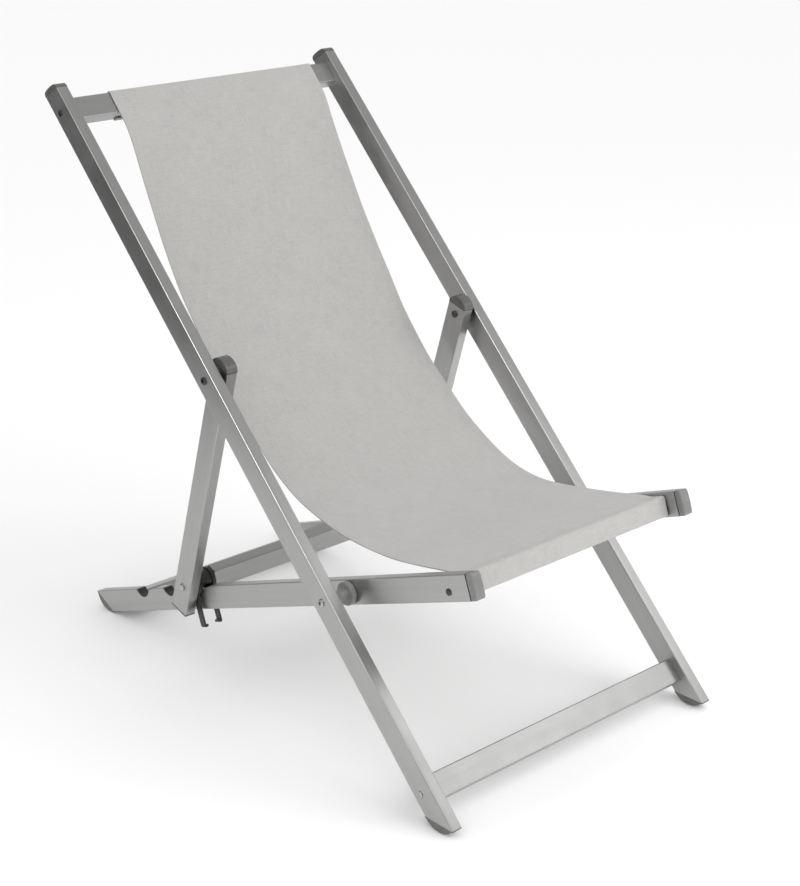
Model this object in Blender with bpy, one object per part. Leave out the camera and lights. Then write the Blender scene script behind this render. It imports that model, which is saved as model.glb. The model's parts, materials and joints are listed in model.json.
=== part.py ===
"""A folding deck chair: three hinged frames of flat aluminium tube and a fabric sling.

Standalone Blender 4.5 script. Sizes are in millimetres and turned into metres when a
mesh is made. The chair faces -Y and stands on z = 0.

Side-view points are written in one of three rail frames. Each has its zero at a pivot,
"along" running up or down the rail's centreline and "across" square to it.
"""

import math

import bmesh
import bpy
from mathutils import Vector

# ---------------------------------------------------------------- sizes (mm, degrees)
MM = 0.001
WIDTH = 572.0               # over the outer faces of the main rails
TUBE_DEEP = 40.0            # wide side of every tube
TUBE_THICK = 20.0           # narrow side of every tube
WALL = 1.6
TUBE_EDGE = 2.0             # radius of the tubes' long edges
MAIN_ANGLE = 45.5           # main rails, above the horizontal
MAIN_UPPER = 926.0          # frame pivot to the top of a main rail
MAIN_LOWER = 359.3          # frame pivot to the foot cut, along the centreline
TOP_CUT_SLOPE = 0.22        # how far the main rails' top cut leans
SEAT_FRONT = 266.0          # frame pivot to the front end of a seat rail
SEAT_REAR = 717.7           # frame pivot to the rear cut, along the centreline
REAR_CUT_ANGLE = 42.6       # rear cut, away from square
PROP_PIVOT = 385.0          # frame pivot to prop pivot, up the main rail
LEG_ABOVE = 16.0            # leg tube above the prop pivot
LEG_BELOW = 46.0            # leg tube below the catch pin
LAYER_GAP_MAIN = 6.5        # main rail to leg
LAYER_GAP_SEAT = 8.0        # leg to seat rail
FOOT_DEPTH = 13.0           # how far a foot cap's curve stands out
FOOT_RIM = 1.5              # thickness of its thin ends
FOOT_EDGE = 0.6
CLEAR = 0.3                 # air between pieces that are fixed together
PIN_CLEAR = 0.1             # radial air round a turning pin
BAR_SET_BACK = 5.0          # crossbar centreline behind the rail centreline
TOP_BAR_AT = MAIN_UPPER - 36.5    # up the main rail
LOW_BAR_AT = MAIN_LOWER - 48.3    # down the main rail
FRONT_BAR_AT = SEAT_FRONT - 41.0  # in front of the frame pivot
REAR_BAR_AT = SEAT_REAR - 27.7 - TUBE_THICK / 2  # behind the frame pivot
REAR_BAR_SINK = 6.0         # how far the rear bar's ends sit inside the seat rails
SCREW_PORT = 2.6            # radius of the hole down a crossbar's middle
PORT_WEB = 6.0              # half width of the web that holds the screw port
SCREW_SHANK = 2.3
SCREW_HEAD = 5.2
SCREW_HEAD_HIGH = 1.6
SCREW_GRIP = 22.0           # how far a screw goes into a crossbar
NOTCH_FIRST = 407.3         # frame pivot to the front notch's centre
NOTCH_PITCH = 87.0
NOTCH_COUNT = 3
NOTCH_RADIUS = 21.0
NOTCH_CENTRE_UP = TUBE_DEEP / 2 + 6.6  # notch centre above the seat rail's centreline
NOTCH_RAMP = 24.0           # length of the lead-in in front of a notch
INSERT_LIP = 0.8            # plastic that shows inside a notch's edge
INSERT_REACH = 8.0          # insert length past the notch at either end
PIN_RADIUS = 4.0
PIN_HEAD = PIN_RADIUS + 2.2
SOCKET = 3.3                # corner radius of a bolt head's hexagon socket
SOCKET_DEEP = 4.0
PIN_HEAD_HIGH = 2.6
HUB_RADIUS = 8.5
FLANGE_RADIUS = 18.6        # the round spacer's flange against a seat rail
FLANGE_THICK = 10.0
FLANGE_SMALL = 13.0         # its flange against a main rail
CATCH_RADIUS = 20.5
CATCH_WEB_RADIUS = 18.0
CATCH_WEB_FLAT = 6.2        # web cut this far under the pin, to slide over the rails
PRONG_WIDE = 12.0
PRONG_THICK = 3.0
PRONG_LONG = 76.0
PRONG_LEG_GAP = 0.5
PRONG_HOOK = 4.0            # how far a prong's tip turns in
HOOK_HIGH = 6.0
CATCH_CHEEK = 3.6
FRONT_CAP_LONG = 13.0
CAP_EDGE = 3.0
PLUG_LONG = 22.0
TOP_CAP_HIGH = 10.0
LEG_CAP_HIGH = 15.5
LEG_TIP_THICK = 4.0
SLING_SIDE_GAP = 3.0        # air between the sling's edge and a seat rail
SLING_SHIFT = 20.0          # the sling hangs this far to one side at the top
CLOTH = 1.6
CLOTH_GAP = 0.7             # air between cloth and the bar that it's looped round
POCKET_SLACK = 8.0          # the front pocket stands this far above its bar
# How the cloth hangs below a straight line from bar to bar: the fraction of the way
# down, then the sag along its left edge and along its right edge.
SLING_SAG = [(0.03, 7, 10), (0.06, 20, 26), (0.1, 42, 46), (0.14, 64, 65), (0.19, 90, 88),
             (0.24, 114, 110), (0.29, 134, 129), (0.34, 149, 147), (0.39, 162, 165), (0.44, 173, 180),
             (0.49, 182, 191), (0.54, 189, 198), (0.59, 194, 203), (0.64, 196, 205), (0.69, 191, 202),
             (0.74, 177, 194), (0.78, 162, 182), (0.82, 142, 161), (0.86, 118, 131), (0.9, 89, 95),
             (0.94, 55, 58), (0.97, 27, 28)]
ROUND = 28                  # sides of a large turned piece
ROUND_SMALL = 16            # sides of a bolt, a screw or its hole


# ---------------------------------------------------------------- side-view geometry
class Side:
    """A frame in side view: a zero point, the way along a rail and the way across it."""

    def __init__(self, zero, along, across):
        self.zero, self.along, self.across = Vector(zero), Vector(along), Vector(across)

    def at(self, s, n):
        return self.zero + self.along * s + self.across * n


def turned(angle):
    a = math.radians(angle)
    return Vector((math.cos(a), math.sin(a)))


def foot_arc(half_chord):
    """Radius of the arc with this half chord that stands out by FOOT_DEPTH."""
    return (half_chord ** 2 + FOOT_DEPTH ** 2) / (2 * FOOT_DEPTH)


half_deep, half_thick = TUBE_DEEP / 2, TUBE_THICK / 2
pivot_high = MAIN_LOWER * math.sin(math.radians(MAIN_ANGLE)) + FOOT_DEPTH

# The seat rails slope down until the curve of their rear feet touches the ground.
rear_half_chord = half_deep / math.cos(math.radians(REAR_CUT_ANGLE))
rear_radius = foot_arc(rear_half_chord)
rear_out = Vector((math.cos(math.radians(REAR_CUT_ANGLE)), -math.sin(math.radians(REAR_CUT_ANGLE))))
rear_centre = Vector((SEAT_REAR, 0)) - rear_out * (rear_radius - FOOT_DEPTH)
seat_slope = math.degrees(math.asin((pivot_high - rear_radius) / rear_centre.length)
                          + math.atan2(rear_centre.y, rear_centre.x))

MAIN = Side((0, pivot_high), turned(MAIN_ANGLE), turned(MAIN_ANGLE + 90))
SEAT = Side((0, pivot_high), turned(-seat_slope), turned(90 - seat_slope))
prop_pivot = MAIN.at(PROP_PIVOT, 0)
catch_pin = SEAT.at(NOTCH_FIRST, NOTCH_CENTRE_UP)
leg_way = catch_pin - prop_pivot
LEG_LONG = leg_way.length
leg_angle = math.degrees(math.atan2(leg_way.y, leg_way.x))
PROP = Side(prop_pivot, turned(leg_angle), turned(leg_angle - 90))

# Layers across the chair, from the outside in, as distances from the middle.
main_out = WIDTH / 2
main_in = main_out - TUBE_THICK
leg_out = main_in - LAYER_GAP_MAIN
leg_in = leg_out - TUBE_THICK
seat_out = leg_in - LAYER_GAP_SEAT
seat_in = seat_out - TUBE_THICK
sling_half = seat_in - SLING_SIDE_GAP

# ---------------------------------------------------------------- materials
def material(name, colour, metallic, roughness):
    made = bpy.data.materials.new(name)
    made.use_nodes = True
    shader = made.node_tree.nodes["Principled BSDF"]
    shader.inputs["Base Color"].default_value = (*colour, 1)
    shader.inputs["Metallic"].default_value = metallic
    shader.inputs["Roughness"].default_value = roughness
    made.diffuse_color = (*colour, 1)
    return made


# ---------------------------------------------------------------- solids
def new_object(name, mesh_maker, look, pivot=None, smooth=True):
    """Makes one object from a bmesh in millimetres, with its origin at a side-view point."""
    mesh = bpy.data.meshes.new(name)
    work = bmesh.new()
    mesh_maker(work)
    bmesh.ops.remove_doubles(work, verts=work.verts, dist=1e-4)
    bmesh.ops.recalc_face_normals(work, faces=work.faces)
    if work.calc_volume(signed=True) < 0:
        bmesh.ops.reverse_faces(work, faces=work.faces)
    origin = Vector((0, pivot.x, pivot.y)) if pivot is not None else Vector((0, 0, 0))
    bmesh.ops.translate(work, verts=work.verts, vec=-origin)
    bmesh.ops.scale(work, verts=work.verts, vec=(MM, MM, MM))
    work.to_mesh(mesh)
    work.free()
    made = bpy.data.objects.new(name, mesh)
    made.location = origin * MM
    bpy.context.scene.collection.objects.link(made)
    mesh.materials.append(look)
    if smooth:
        mesh.shade_smooth()
        mesh.set_sharp_from_angle(angle=math.radians(35))
    return made


def prism(work, outline, x0, x1, shear=0.0):
    """A side-view outline swept across the chair from x0 to x1."""
    rings = []
    for x in (x0, x1):
        rings.append([work.verts.new((x, p.x, p.y)) for p in outline])
    count = len(outline)
    work.faces.new(rings[0])
    work.faces.new(list(reversed(rings[1])))
    for i in range(count):
        j = (i + 1) % count
        work.faces.new((rings[0][i], rings[1][i], rings[1][j], rings[0][j]))


def section_prism(work, centre, side, deep, thick, edge, x0, x1):
    """A rounded rectangle in side view, swept across the chair: a crossbar's outside."""
    prism(work, rounded(side, centre[0], centre[1], deep, thick, edge), x0, x1)


def rounded(side, s, n, deep, thick, edge, steps=4):
    """Outline of a rounded rectangle, deep along the rail and thick across it."""
    points = []
    for cs, cn, start in ((1, 1, 0), (-1, 1, 90), (-1, -1, 180), (1, -1, 270)):
        for k in range(steps + 1):
            a = math.radians(start + 90 * k / steps)
            points.append(side.at(s + cs * (deep / 2 - edge) + edge * math.cos(a),
                                  n + cn * (thick / 2 - edge) + edge * math.sin(a)))
    return points


def turned_solid(work, centre, profile, sides=ROUND):
    """A profile of (x, radius) pairs turned round the line across the chair at centre."""
    rings = []
    for x, r in profile:
        ring = []
        for k in range(sides):
            a = 2 * math.pi * k / sides
            ring.append(work.verts.new((x, centre.x + r * math.cos(a), centre.y + r * math.sin(a))))
        rings.append(ring)
    for a, b in zip(rings, rings[1:]):
        for k in range(sides):
            m = (k + 1) % sides
            work.faces.new((a[k], a[m], b[m], b[k]))
    work.faces.new(rings[0])
    work.faces.new(rings[-1])


def rail(work, side, s0, s1, lean0, lean1, x_mid, deep, thick, edge, steps=3):
    """A bar along a rail: rounded section in (x, across), ends leaning by a slope."""
    section = []
    for cx, cn, start in ((1, 1, 0), (-1, 1, 90), (-1, -1, 180), (1, -1, 270)):
        for k in range(steps + 1):
            a = math.radians(start + 90 * k / steps)
            section.append((cx * (thick / 2 - edge) + edge * math.cos(a),
                            cn * (deep / 2 - edge) + edge * math.sin(a)))
    rings = []
    for s, lean in ((s0, lean0), (s1, lean1)):
        ring = []
        for x, n in section:
            p = side.at(s + lean * n, n)
            ring.append(work.verts.new((x_mid + x, p.x, p.y)))
        rings.append(ring)
    count = len(section)
    work.faces.new(rings[0])
    work.faces.new(rings[1])
    for i in range(count):
        j = (i + 1) % count
        work.faces.new((rings[0][i], rings[1][i], rings[1][j], rings[0][j]))


def cut(target, cutters, operation="DIFFERENCE"):
    """Booleans the cutters into the target for good and removes them."""
    bpy.context.view_layer.update()
    for other in cutters:
        other.hide_render = True
        other.display_type = "WIRE"
        step = target.modifiers.new(other.name, "BOOLEAN")
        step.operation = operation
        step.solver = "EXACT"
        step.object = other
    bpy.context.view_layer.update()
    graph = bpy.context.evaluated_depsgraph_get()
    finished = bpy.data.meshes.new_from_object(target.evaluated_get(graph))
    old = target.data
    target.modifiers.clear()
    target.data = finished
    finished.name = target.name
    bpy.data.meshes.remove(old)
    for other in cutters:
        mesh = other.data
        bpy.data.objects.remove(other)
        bpy.data.meshes.remove(mesh)
    finished.shade_smooth()
    finished.set_sharp_from_angle(angle=math.radians(35))


def tool(maker, pivot=None):
    return new_object("cutter", maker, plastic, pivot, smooth=False)


def round_tool(centre, radius, x0, x1, pivot=None):
    ends = sorted((x0, x1))
    rim = [(ends[0], radius), (ends[1], radius)]
    return tool(lambda w: turned_solid(w, centre, rim, ROUND_SMALL), pivot)


# ---------------------------------------------------------------- pieces
def tube(name, side, s0, s1, lean0, lean1, x_mid, holes, pivot, extra=()):
    """A hollow rail with round holes [(s, n, radius, x0, x1)] and further cutters."""
    made = new_object(name, lambda w: rail(w, side, s0, s1, lean0, lean1, x_mid, TUBE_DEEP,
                                           TUBE_THICK, TUBE_EDGE), aluminium, pivot)
    over = 60.0
    cutters = [tool(lambda w: rail(w, side, s0 - over, s1 + over, lean0, lean1, x_mid,
                                   TUBE_DEEP - 2 * WALL, TUBE_THICK - 2 * WALL, 0.6, 1), pivot)]
    for s, n, radius, x0, x1 in holes:
        cutters.append(round_tool(side.at(s, n), radius, x0, x1, pivot))
    cut(made, cutters + list(extra))
    return made


def crossbar(name, side, s, n, x_end, pivot):
    """An extruded bar with two hollows and a screw port, ends a hair short of the rails."""
    made = new_object(name, lambda w: section_prism(w, (s, n), side, TUBE_DEEP, TUBE_THICK,
                                                    TUBE_EDGE, -x_end, x_end), aluminium, pivot)
    hollow = half_deep - WALL - PORT_WEB
    middle = PORT_WEB + hollow / 2
    over = x_end + 5
    cutters = [tool(lambda w, c=c: section_prism(w, (s + c * middle, n), side, hollow,
                                                 TUBE_THICK - 2 * WALL, 0.8, -over, over), pivot)
               for c in (-1, 1)]
    cutters.append(round_tool(side.at(s, n), SCREW_PORT, -over, over, pivot))
    cut(made, cutters)
    return made


def arc_cap_outline(side, s, lean_angle, steps=14):
    """The outside of a foot cap: the cut's line, and an arc that stands out from it."""
    slope = math.tan(math.radians(lean_angle))
    top, low = Vector((s + slope * half_deep, half_deep)), Vector((s - slope * half_deep, -half_deep))
    half = (top - low).length / 2
    radius = foot_arc(half)
    way = (low - top).normalized()
    out = Vector((-way.y, way.x))
    if out.x * math.copysign(1, s) < 0:
        out = -out
    spread = math.asin(half / radius)
    points = [top + out * CLEAR]
    for k in range(steps + 1):
        a = -spread + 2 * spread * k / steps
        lift = max(radius * math.cos(a) - (radius - FOOT_DEPTH), CLEAR + FOOT_RIM)
        points.append((top + low) / 2 + out * lift + way * radius * math.sin(a))
    points.append(low + out * CLEAR)
    return [side.at(p.x, p.y) for p in points]


def soften(target, width, segments=3, angle=40):
    bevel = target.modifiers.new("edge", "BEVEL")
    bevel.width = width * MM
    bevel.segments = segments
    bevel.limit_method = "ANGLE"
    bevel.angle_limit = math.radians(angle)
    bevel.harden_normals = False


def apply_all(target):
    bpy.context.view_layer.update()
    graph = bpy.context.evaluated_depsgraph_get()
    finished = bpy.data.meshes.new_from_object(target.evaluated_get(graph))
    old = target.data
    target.modifiers.clear()
    target.data = finished
    finished.name = target.name
    bpy.data.meshes.remove(old)
    finished.shade_smooth()
    finished.set_sharp_from_angle(angle=math.radians(35))


def plugged_cap(name, side, outline, x_mid, plug, pivot, edge=1.2):
    """A cap over a tube's end, joined to a plug that sits inside the tube.

    plug is (s0, s1, lean0, lean1) of the plug's bar.
    """
    made = new_object(name, lambda w: prism(w, outline, x_mid - half_thick, x_mid + half_thick),
                      plastic, pivot)
    soften(made, edge)
    apply_all(made)
    s0, s1, lean0, lean1 = plug
    inner = tool(lambda w: rail(w, side, s0, s1, lean0, lean1, x_mid,
                                TUBE_DEEP - 2 * WALL - 2 * CLEAR,
                                TUBE_THICK - 2 * WALL - 2 * CLEAR, 1.0, 1), pivot)
    cut(made, [inner], "UNION")
    return made


def screw(name, side, s, n, hand, face, inner_face, pivot):
    """A dome-headed screw through a rail into a crossbar's port."""
    x_head, x_tip = face, inner_face - SCREW_GRIP
    profile = [(x_tip, SCREW_SHANK - 0.8), (x_tip + 2, SCREW_SHANK), (x_head + CLEAR, SCREW_SHANK),
               (x_head + CLEAR, SCREW_HEAD), (x_head + CLEAR + SCREW_HEAD_HIGH * 0.45, SCREW_HEAD),
               (x_head + CLEAR + SCREW_HEAD_HIGH * 0.8, SCREW_HEAD * 0.78),
               (x_head + CLEAR + SCREW_HEAD_HIGH, SCREW_HEAD * 0.4)]
    made = new_object(name, lambda w: turned_solid(w, side.at(s, n), [(hand * x, r) for x, r in profile],
                                                    ROUND_SMALL), steel, pivot)
    x_top = x_head + CLEAR + SCREW_HEAD_HIGH
    slit = [side.at(s + a, n + b) for a, b in ((-SCREW_HEAD, -0.5), (SCREW_HEAD, -0.5),
                                               (SCREW_HEAD, 0.5), (-SCREW_HEAD, 0.5))]
    span = sorted((hand * (x_top - 0.7), hand * (x_top + 2)))
    slot = tool(lambda w: prism(w, slit, *span), pivot)
    cut(made, [slot])
    return made


def build_main_frame():
    top_lean = -TOP_CUT_SLOPE
    foot_lean = math.tan(math.radians(90 - MAIN_ANGLE))
    for hand, word in ((-1, "left"), (1, "right")):
        x_mid = hand * (main_out - half_thick)
        span = sorted((hand * (main_out + 2), hand * (main_in - 2)))
        bolt_hole = PIN_RADIUS + CLEAR
        holes = [(0, 0, bolt_hole, *span), (PROP_PIVOT, 0, bolt_hole, *span),
                 (TOP_BAR_AT, -BAR_SET_BACK, SCREW_SHANK + CLEAR, *span),
                 (-LOW_BAR_AT, -BAR_SET_BACK, SCREW_SHANK + CLEAR, *span)]
        tube("main_rail_" + word, MAIN, -MAIN_LOWER, MAIN_UPPER, -foot_lean, top_lean,
             x_mid, holes, pivot_zero)
        # Foot cap: the cut is level, so it leans by the rail's own angle.
        outline = arc_cap_outline(MAIN, -MAIN_LOWER, -(90 - MAIN_ANGLE))
        plugged_cap("main_foot_" + word, MAIN, outline, x_mid,
                    (-MAIN_LOWER - 3.5, -MAIN_LOWER + PLUG_LONG, -foot_lean, 0), pivot_zero, FOOT_EDGE)
        arch = []
        for k in range(17):
            n = half_deep * (1 - 2 * k / 16)
            lift = TOP_CAP_HIGH * (1 - abs(n / half_deep) ** 3) ** (1 / 3)
            arch.append(MAIN.at(MAIN_UPPER + top_lean * n + CLEAR + max(lift, 1.2), n))
        arch += [MAIN.at(MAIN_UPPER + top_lean * n + CLEAR, n) for n in (-half_deep, half_deep)]
        plugged_cap("main_top_cap_" + word, MAIN, arch, x_mid,
                    (MAIN_UPPER - PLUG_LONG, MAIN_UPPER + 1.5, 0, top_lean), pivot_zero)
        for label, at in (("top", TOP_BAR_AT), ("low", -LOW_BAR_AT)):
            screw(label + "_bar_screw_" + word, MAIN, at, -BAR_SET_BACK, hand,
                  main_out, main_in, pivot_zero)
    crossbar("top_crossbar", MAIN, TOP_BAR_AT, -BAR_SET_BACK, main_in - CLEAR, pivot_zero)
    crossbar("low_crossbar", MAIN, -LOW_BAR_AT, -BAR_SET_BACK, main_in - CLEAR, pivot_zero)


def notch_outline(side, s, radius, high):
    """A notch's cutter: a round bottom, a steep rear side and a slanted lead-in in front."""
    points = []
    for k in range(19):
        a = math.radians(-150 + 150 * k / 18)
        points.append(side.at(s + radius * math.cos(a), NOTCH_CENTRE_UP + radius * math.sin(a)))
    first = math.radians(-150)
    fs, fn = s + radius * math.cos(first), NOTCH_CENTRE_UP + radius * math.sin(first)
    rise = half_deep + 0.01 - fn
    points.append(side.at(s + radius, high))
    points.append(side.at(fs - NOTCH_RAMP, high))
    points.append(side.at(fs - NOTCH_RAMP, fn + rise))
    return points


def build_seat_frame():
    rear_lean = math.tan(math.radians(REAR_CUT_ANGLE))
    notches = [NOTCH_FIRST + k * NOTCH_PITCH for k in range(NOTCH_COUNT)]
    for hand, word in ((-1, "left"), (1, "right")):
        x_mid = hand * (seat_out - half_thick)
        span = sorted((hand * (seat_out + 2), hand * (seat_in - 2)))
        holes = [(0, 0, PIN_RADIUS + PIN_CLEAR, *span),
                 (-FRONT_BAR_AT, -BAR_SET_BACK, SCREW_SHANK + CLEAR, *span)]
        extra = [tool(lambda w, s=s: prism(w, notch_outline(SEAT, s, NOTCH_RADIUS + INSERT_LIP, 40),
                                           *span), pivot_zero) for s in notches]
        inner = sorted((hand * (seat_in - 3), hand * (seat_in + WALL + 1)))
        extra.append(tool(lambda w: section_prism(w, (REAR_BAR_AT, -BAR_SET_BACK), SEAT,
                                                  TUBE_DEEP + 2 * CLEAR, TUBE_THICK + 2 * CLEAR,
                                                  TUBE_EDGE, *inner), pivot_zero))
        tube("seat_rail_" + word, SEAT, -SEAT_FRONT, SEAT_REAR, 0, rear_lean,
             x_mid, holes, pivot_zero, extra)
        outline = arc_cap_outline(SEAT, SEAT_REAR, REAR_CUT_ANGLE)
        plugged_cap("seat_foot_" + word, SEAT, outline, x_mid,
                    (SEAT_REAR - 4.0, SEAT_REAR + 3.5, rear_lean, rear_lean), pivot_zero, FOOT_EDGE)
        front = [SEAT.at(-SEAT_FRONT - CLEAR, n) for n in (-half_deep, half_deep)]
        bow = 1.6
        for k in range(9):
            n = half_deep * (1 - k / 4)
            front.append(SEAT.at(-SEAT_FRONT - FRONT_CAP_LONG + bow * (n / half_deep) ** 2, n))
        plugged_cap("seat_front_cap_" + word, SEAT, front, x_mid,
                    (-SEAT_FRONT - 1.5, -SEAT_FRONT + 8.0, 0, 0), pivot_zero, edge=CAP_EDGE)
        for k, s in enumerate(notches):
            rear = s + NOTCH_RADIUS + INSERT_REACH
            fore = s - NOTCH_RADIUS * 0.87 - NOTCH_RAMP - INSERT_REACH
            block = new_object(f"notch_insert_{k + 1}_{word}",
                               lambda w: rail(w, SEAT, fore, rear, 0, 0, x_mid,
                                              TUBE_DEEP - 2 * WALL - 2 * CLEAR,
                                              TUBE_THICK - 2 * WALL - 2 * CLEAR, 0.8, 1),
                               plastic, pivot_zero)
            cut(block, [tool(lambda w: prism(w, notch_outline(SEAT, s, NOTCH_RADIUS, 40), *span),
                             pivot_zero)])
        screw("front_bar_screw_" + word, SEAT, -FRONT_BAR_AT, -BAR_SET_BACK, hand,
              seat_out, seat_in, pivot_zero)
    crossbar("front_crossbar", SEAT, -FRONT_BAR_AT, -BAR_SET_BACK, seat_in - CLEAR, pivot_zero)
    crossbar("rear_crossbar", SEAT, REAR_BAR_AT, -BAR_SET_BACK, seat_in + WALL + 0.6, pivot_zero)


def build_prop_frame():
    pin_at = LEG_LONG
    for hand, word in ((-1, "left"), (1, "right")):
        x_mid = hand * (leg_out - half_thick)
        span = sorted((hand * (leg_out + 2), hand * (leg_in - 2)))
        holes = [(0, 0, PIN_RADIUS + PIN_CLEAR, *span), (pin_at, 0, PIN_RADIUS + CLEAR, *span)]
        tube("prop_leg_" + word, PROP, -LEG_ABOVE, pin_at + LEG_BELOW, 0, 0, x_mid, holes, prop_pivot)
        dome = []
        for k in range(17):
            n = half_deep * math.cos(math.pi * k / 16)
            lift = LEG_CAP_HIGH * math.sin(math.pi * k / 16)
            dome.append(PROP.at(-LEG_ABOVE - CLEAR - max(lift, 1.0), n))
        dome += [PROP.at(-LEG_ABOVE - CLEAR, n) for n in (-half_deep, half_deep)]
        plugged_cap("leg_top_cap_" + word, PROP, dome, x_mid,
                    (-LEG_ABOVE - 1.5, -PIN_RADIUS - 4.0, 0, 0), prop_pivot)
        end = pin_at + LEG_BELOW
        tip = [PROP.at(end + CLEAR, n) for n in (-half_deep, half_deep)]
        tip += [PROP.at(end + LEG_TIP_THICK, n) for n in (half_deep, -half_deep)]
        plugged_cap("leg_tip_" + word, PROP, tip, x_mid, (end - PLUG_LONG, end + 1.5, 0, 0), prop_pivot)
    bar_end = seat_in - CATCH_CHEEK - WALL - 3.0
    crossbar_b = new_object("prop_crossbar", lambda w: section_prism(
        w, (pin_at, 0), PROP, TUBE_DEEP, TUBE_THICK, TUBE_EDGE, -bar_end, bar_end), aluminium, prop_pivot)
    hollow = half_deep - WALL - PORT_WEB
    middle = PORT_WEB + hollow / 2
    cutters = [tool(lambda w, c=c: section_prism(w, (pin_at + c * middle, 0), PROP, hollow,
                                                 TUBE_THICK - 2 * WALL, 0.8, -bar_end - 5, bar_end + 5),
                    prop_pivot) for c in (-1, 1)]
    cutters.append(round_tool(PROP.at(pin_at, 0), PIN_RADIUS + CLEAR,
                              -bar_end - 5, bar_end + 5, prop_pivot))
    cut(crossbar_b, cutters)
    return bar_end


def pivot_bolts():
    """Bolts with their round spacers. Both kinds are fixed to the main rails."""
    def head(x, sign):
        return [(x, PIN_HEAD), (x + sign * PIN_HEAD_HIGH * 0.55, PIN_HEAD),
                (x + sign * PIN_HEAD_HIGH * 0.85, PIN_HEAD * 0.8),
                (x + sign * PIN_HEAD_HIGH, PIN_HEAD * 0.45)]

    for hand, word in ((-1, "left"), (1, "right")):
        # Frame pivot, from the inner head out to the outer head.
        inner_head = list(reversed(head(seat_in - CLEAR, -1)))
        outer_head = head(main_out + CLEAR, 1)
        frame = inner_head + [(seat_in - CLEAR, PIN_RADIUS), (main_out + CLEAR, PIN_RADIUS)] + outer_head
        bolt = new_object("frame_pivot_bolt_" + word, lambda w: turned_solid(
            w, MAIN.at(0, 0), [(hand * x, r) for x, r in frame], ROUND_SMALL), steel, pivot_zero)
        hex_slot(bolt, MAIN.at(0, 0), hand * (main_out + CLEAR + PIN_HEAD_HIGH), hand, pivot_zero)
        # The spacer is a ring of two flanges on a hub, bored for the bolt.
        a, b, c = seat_out + CLEAR, seat_out + FLANGE_THICK, main_in - CLEAR
        edge = 2.5
        spacer = [(a, FLANGE_RADIUS - 1), (a + 1, FLANGE_RADIUS), (b - edge, FLANGE_RADIUS),
                  (b - edge * 0.3, FLANGE_RADIUS - edge * 0.3), (b, FLANGE_RADIUS - edge),
                  (b + 0.4, FLANGE_RADIUS - edge - 4), (b + 1.5, HUB_RADIUS + 1), (b + 3, HUB_RADIUS),
                  (c - 4.5, HUB_RADIUS), (c - 3.6, FLANGE_SMALL - 1), (c - 2.8, FLANGE_SMALL),
                  (c - 0.6, FLANGE_SMALL), (c, FLANGE_SMALL - 0.6)]
        ring = new_object("frame_spacer_" + word, lambda w: turned_solid(
            w, MAIN.at(0, 0), [(hand * x, r) for x, r in spacer]), plastic, pivot_zero)
        cut(ring, [round_tool(MAIN.at(0, 0), PIN_RADIUS + CLEAR,
                              hand * (a - 2), hand * (c + 2), pivot_zero)])
        # Prop pivot.
        inner_head = list(reversed(head(leg_in - CLEAR, -1)))
        prop = inner_head + [(leg_in - CLEAR, PIN_RADIUS), (leg_out + CLEAR, PIN_RADIUS),
                             (leg_out + CLEAR, HUB_RADIUS), (main_in - CLEAR, HUB_RADIUS),
                             (main_in - CLEAR, PIN_RADIUS), (main_out + CLEAR, PIN_RADIUS)] + outer_head
        bolt = new_object("prop_pivot_bolt_" + word, lambda w: turned_solid(
            w, prop_pivot, [(hand * x, r) for x, r in prop], ROUND_SMALL), steel, prop_pivot)
        hex_slot(bolt, prop_pivot, hand * (main_out + CLEAR + PIN_HEAD_HIGH), hand, prop_pivot)


def hex_slot(bolt, centre, x_top, hand, pivot):
    """A hexagon socket in a bolt's head."""
    points = [centre + turned(60 * k) * SOCKET for k in range(6)]
    depth = sorted((x_top - hand * SOCKET_DEEP, x_top + hand))
    cut(bolt, [tool(lambda w: prism(w, points, *depth), pivot)])


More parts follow.
